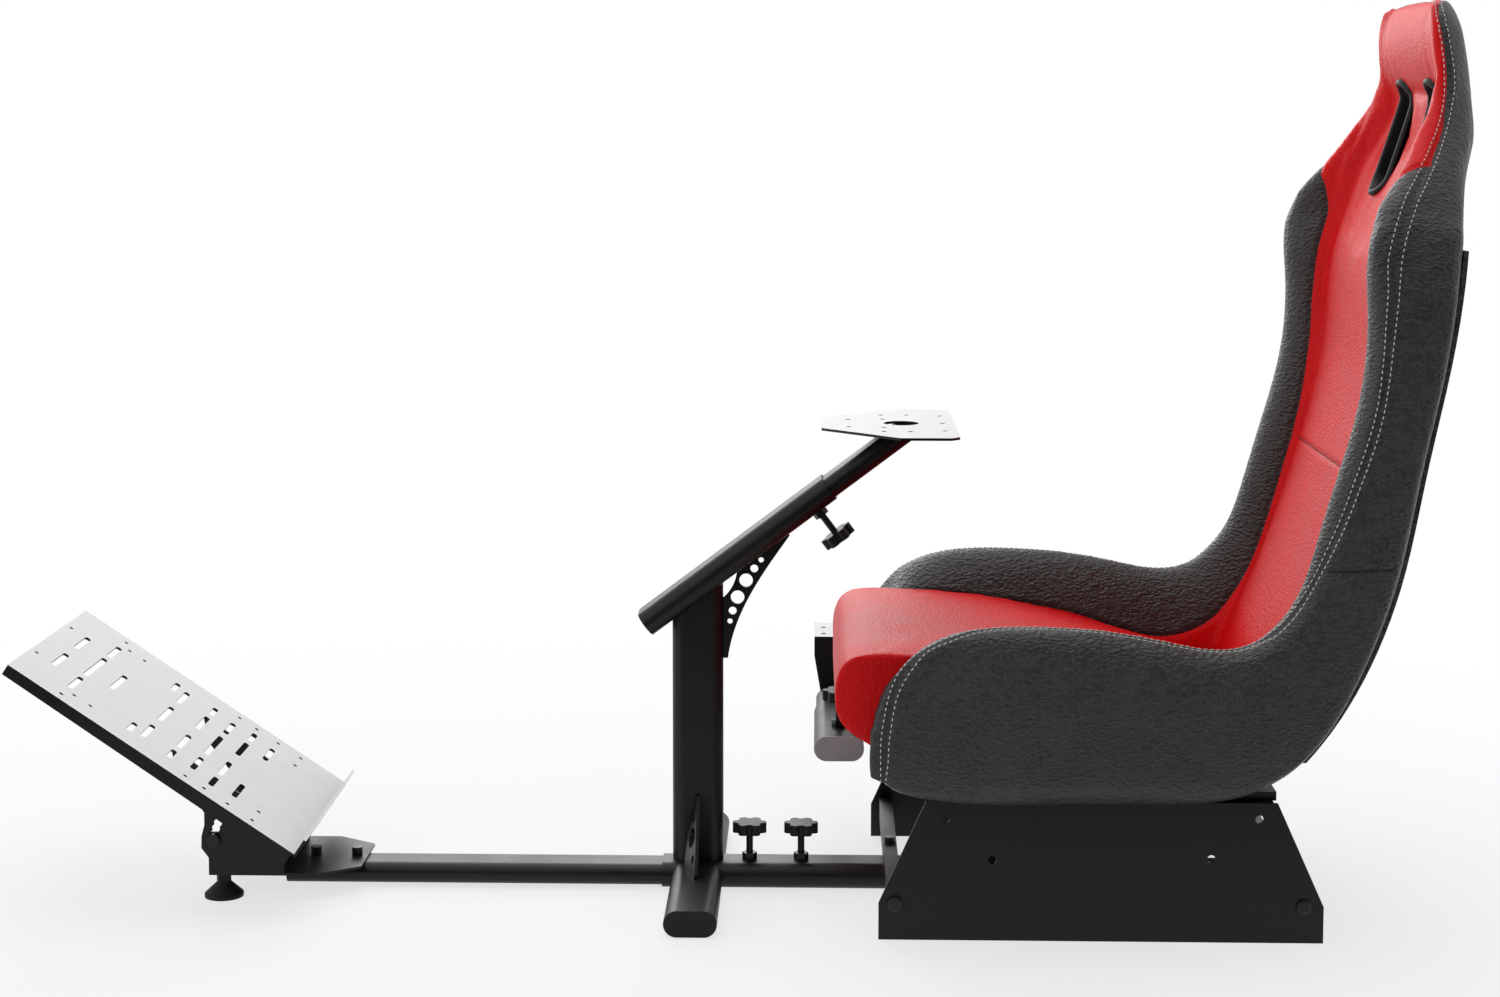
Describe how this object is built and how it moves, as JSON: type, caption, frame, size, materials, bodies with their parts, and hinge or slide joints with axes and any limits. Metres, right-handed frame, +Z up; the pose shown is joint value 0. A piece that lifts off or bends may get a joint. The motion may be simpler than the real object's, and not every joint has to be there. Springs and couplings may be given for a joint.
{
  "type": "sim racing cockpit",
  "caption": "Sim racing cockpit: bucket seat on a flat-oval tube frame with a sloping wheel column, a slotted tilting pedal deck and a side arm for a shifter, each clamped by lobed knobs.",
  "frame": {"origin": "on the floor under the middle of the wheel post, on the base tube's lower face", "axes": "+X from the pedals to the seat, +Y to the driver's right, +Z up"},
  "size_m": [1.6481, 0.658, 1.04],
  "materials": {
    "black_steel": "satin",
    "deck_steel": "satin",
    "black_fastener": "satin",
    "black_plastic": "matte",
    "black_rubber": "matte",
    "red_leather": "satin",
    "black_leather": "satin"
  },
  "bodies": {
    "frame": {"base_tube": "black_steel", "left_foot_tube": "black_steel", "left_foot_cap": "black_plastic", "right_foot_tube": "black_steel", "right_foot_cap": "black_plastic", "upright_post": "black_steel", "column_tube": "black_steel", "column_gusset": "black_steel", "left_post_gusset": "black_steel", "right_post_gusset": "black_steel", "clamp_nuts": "black_fastener", "left_seat_bracket": "black_steel", "right_seat_bracket": "black_steel", "front_seat_bar": "black_steel", "rear_seat_bar": "black_steel", "bracket_bolts": "black_fastener", "bar_screws": "black_fastener", "seat_pan": "black_steel", "shifter_sleeve": "black_steel", "shifter_cap": "black_plastic", "shifter_support": "black_steel", "left_bolster": "black_leather", "right_bolster": "black_leather", "seat_cushion": "red_leather", "backrest_pad": "red_leather", "back_shell": "black_leather"},
    "pedal_slide": {"pedal_tube": "black_steel", "pedal_base": "black_steel", "base_screws": "black_fastener", "left_levelling_foot": "black_rubber", "right_levelling_foot": "black_rubber", "tilt_pins": "black_fastener"},
    "pedal_deck": {"pedal_plate": "deck_steel", "left_pedal_rib": "black_steel", "right_pedal_rib": "black_steel"},
    "wheel_column": {"wheel_tube": "black_steel", "wheel_plate": "deck_steel"},
    "shifter_arm": {"shifter_tube": "black_steel", "shifter_plate": "deck_steel"},
    "pedal_knob_front": {"pedal_knob_front": "black_plastic"},
    "pedal_knob_rear": {"pedal_knob_rear": "black_plastic"},
    "column_knob": {"column_knob": "black_plastic"},
    "shifter_knob": {"shifter_knob": "black_plastic"}
  },
  "joints": [
    {"name": "pedal_reach", "type": "slide", "parent": "frame", "child": "pedal_slide", "axis": [1, 0, 0], "range_m": [-0.06, 0.25]},
    {"name": "pedal_tilt", "type": "hinge", "parent": "pedal_slide", "child": "pedal_deck", "pos_m": [-0.487, 0, 0.062], "axis": [0, -1, 0], "range_deg": [0, 20]},
    {"name": "column_reach", "type": "slide", "parent": "frame", "child": "wheel_column", "axis": [0.7986, 0, 0.6018], "range_m": [-0.08, 0.06]},
    {"name": "shifter_reach", "type": "slide", "parent": "frame", "child": "shifter_arm", "axis": [0, 1, 0], "range_m": [0, 0.035]},
    {"name": "pedal_knob_front_turn", "type": "hinge", "parent": "frame", "child": "pedal_knob_front", "pos_m": [0.061, 0, 0.03], "axis": [0, 0, 1], "range_deg": [0, 180]},
    {"name": "pedal_knob_rear_turn", "type": "hinge", "parent": "frame", "child": "pedal_knob_rear", "pos_m": [0.122, 0, 0.03], "axis": [0, 0, 1], "range_deg": [0, 180]},
    {"name": "column_knob_turn", "type": "hinge", "parent": "frame", "child": "column_knob", "pos_m": [0.1416, 0, 0.4479], "axis": [0.6018, 0, -0.7986], "range_deg": [0, 180]},
    {"name": "shifter_knob_turn", "type": "hinge", "parent": "frame", "child": "shifter_knob", "pos_m": [0.167, 0.095, 0.1675], "axis": [0, 0, 1], "range_deg": [0, 180]}
  ]
}
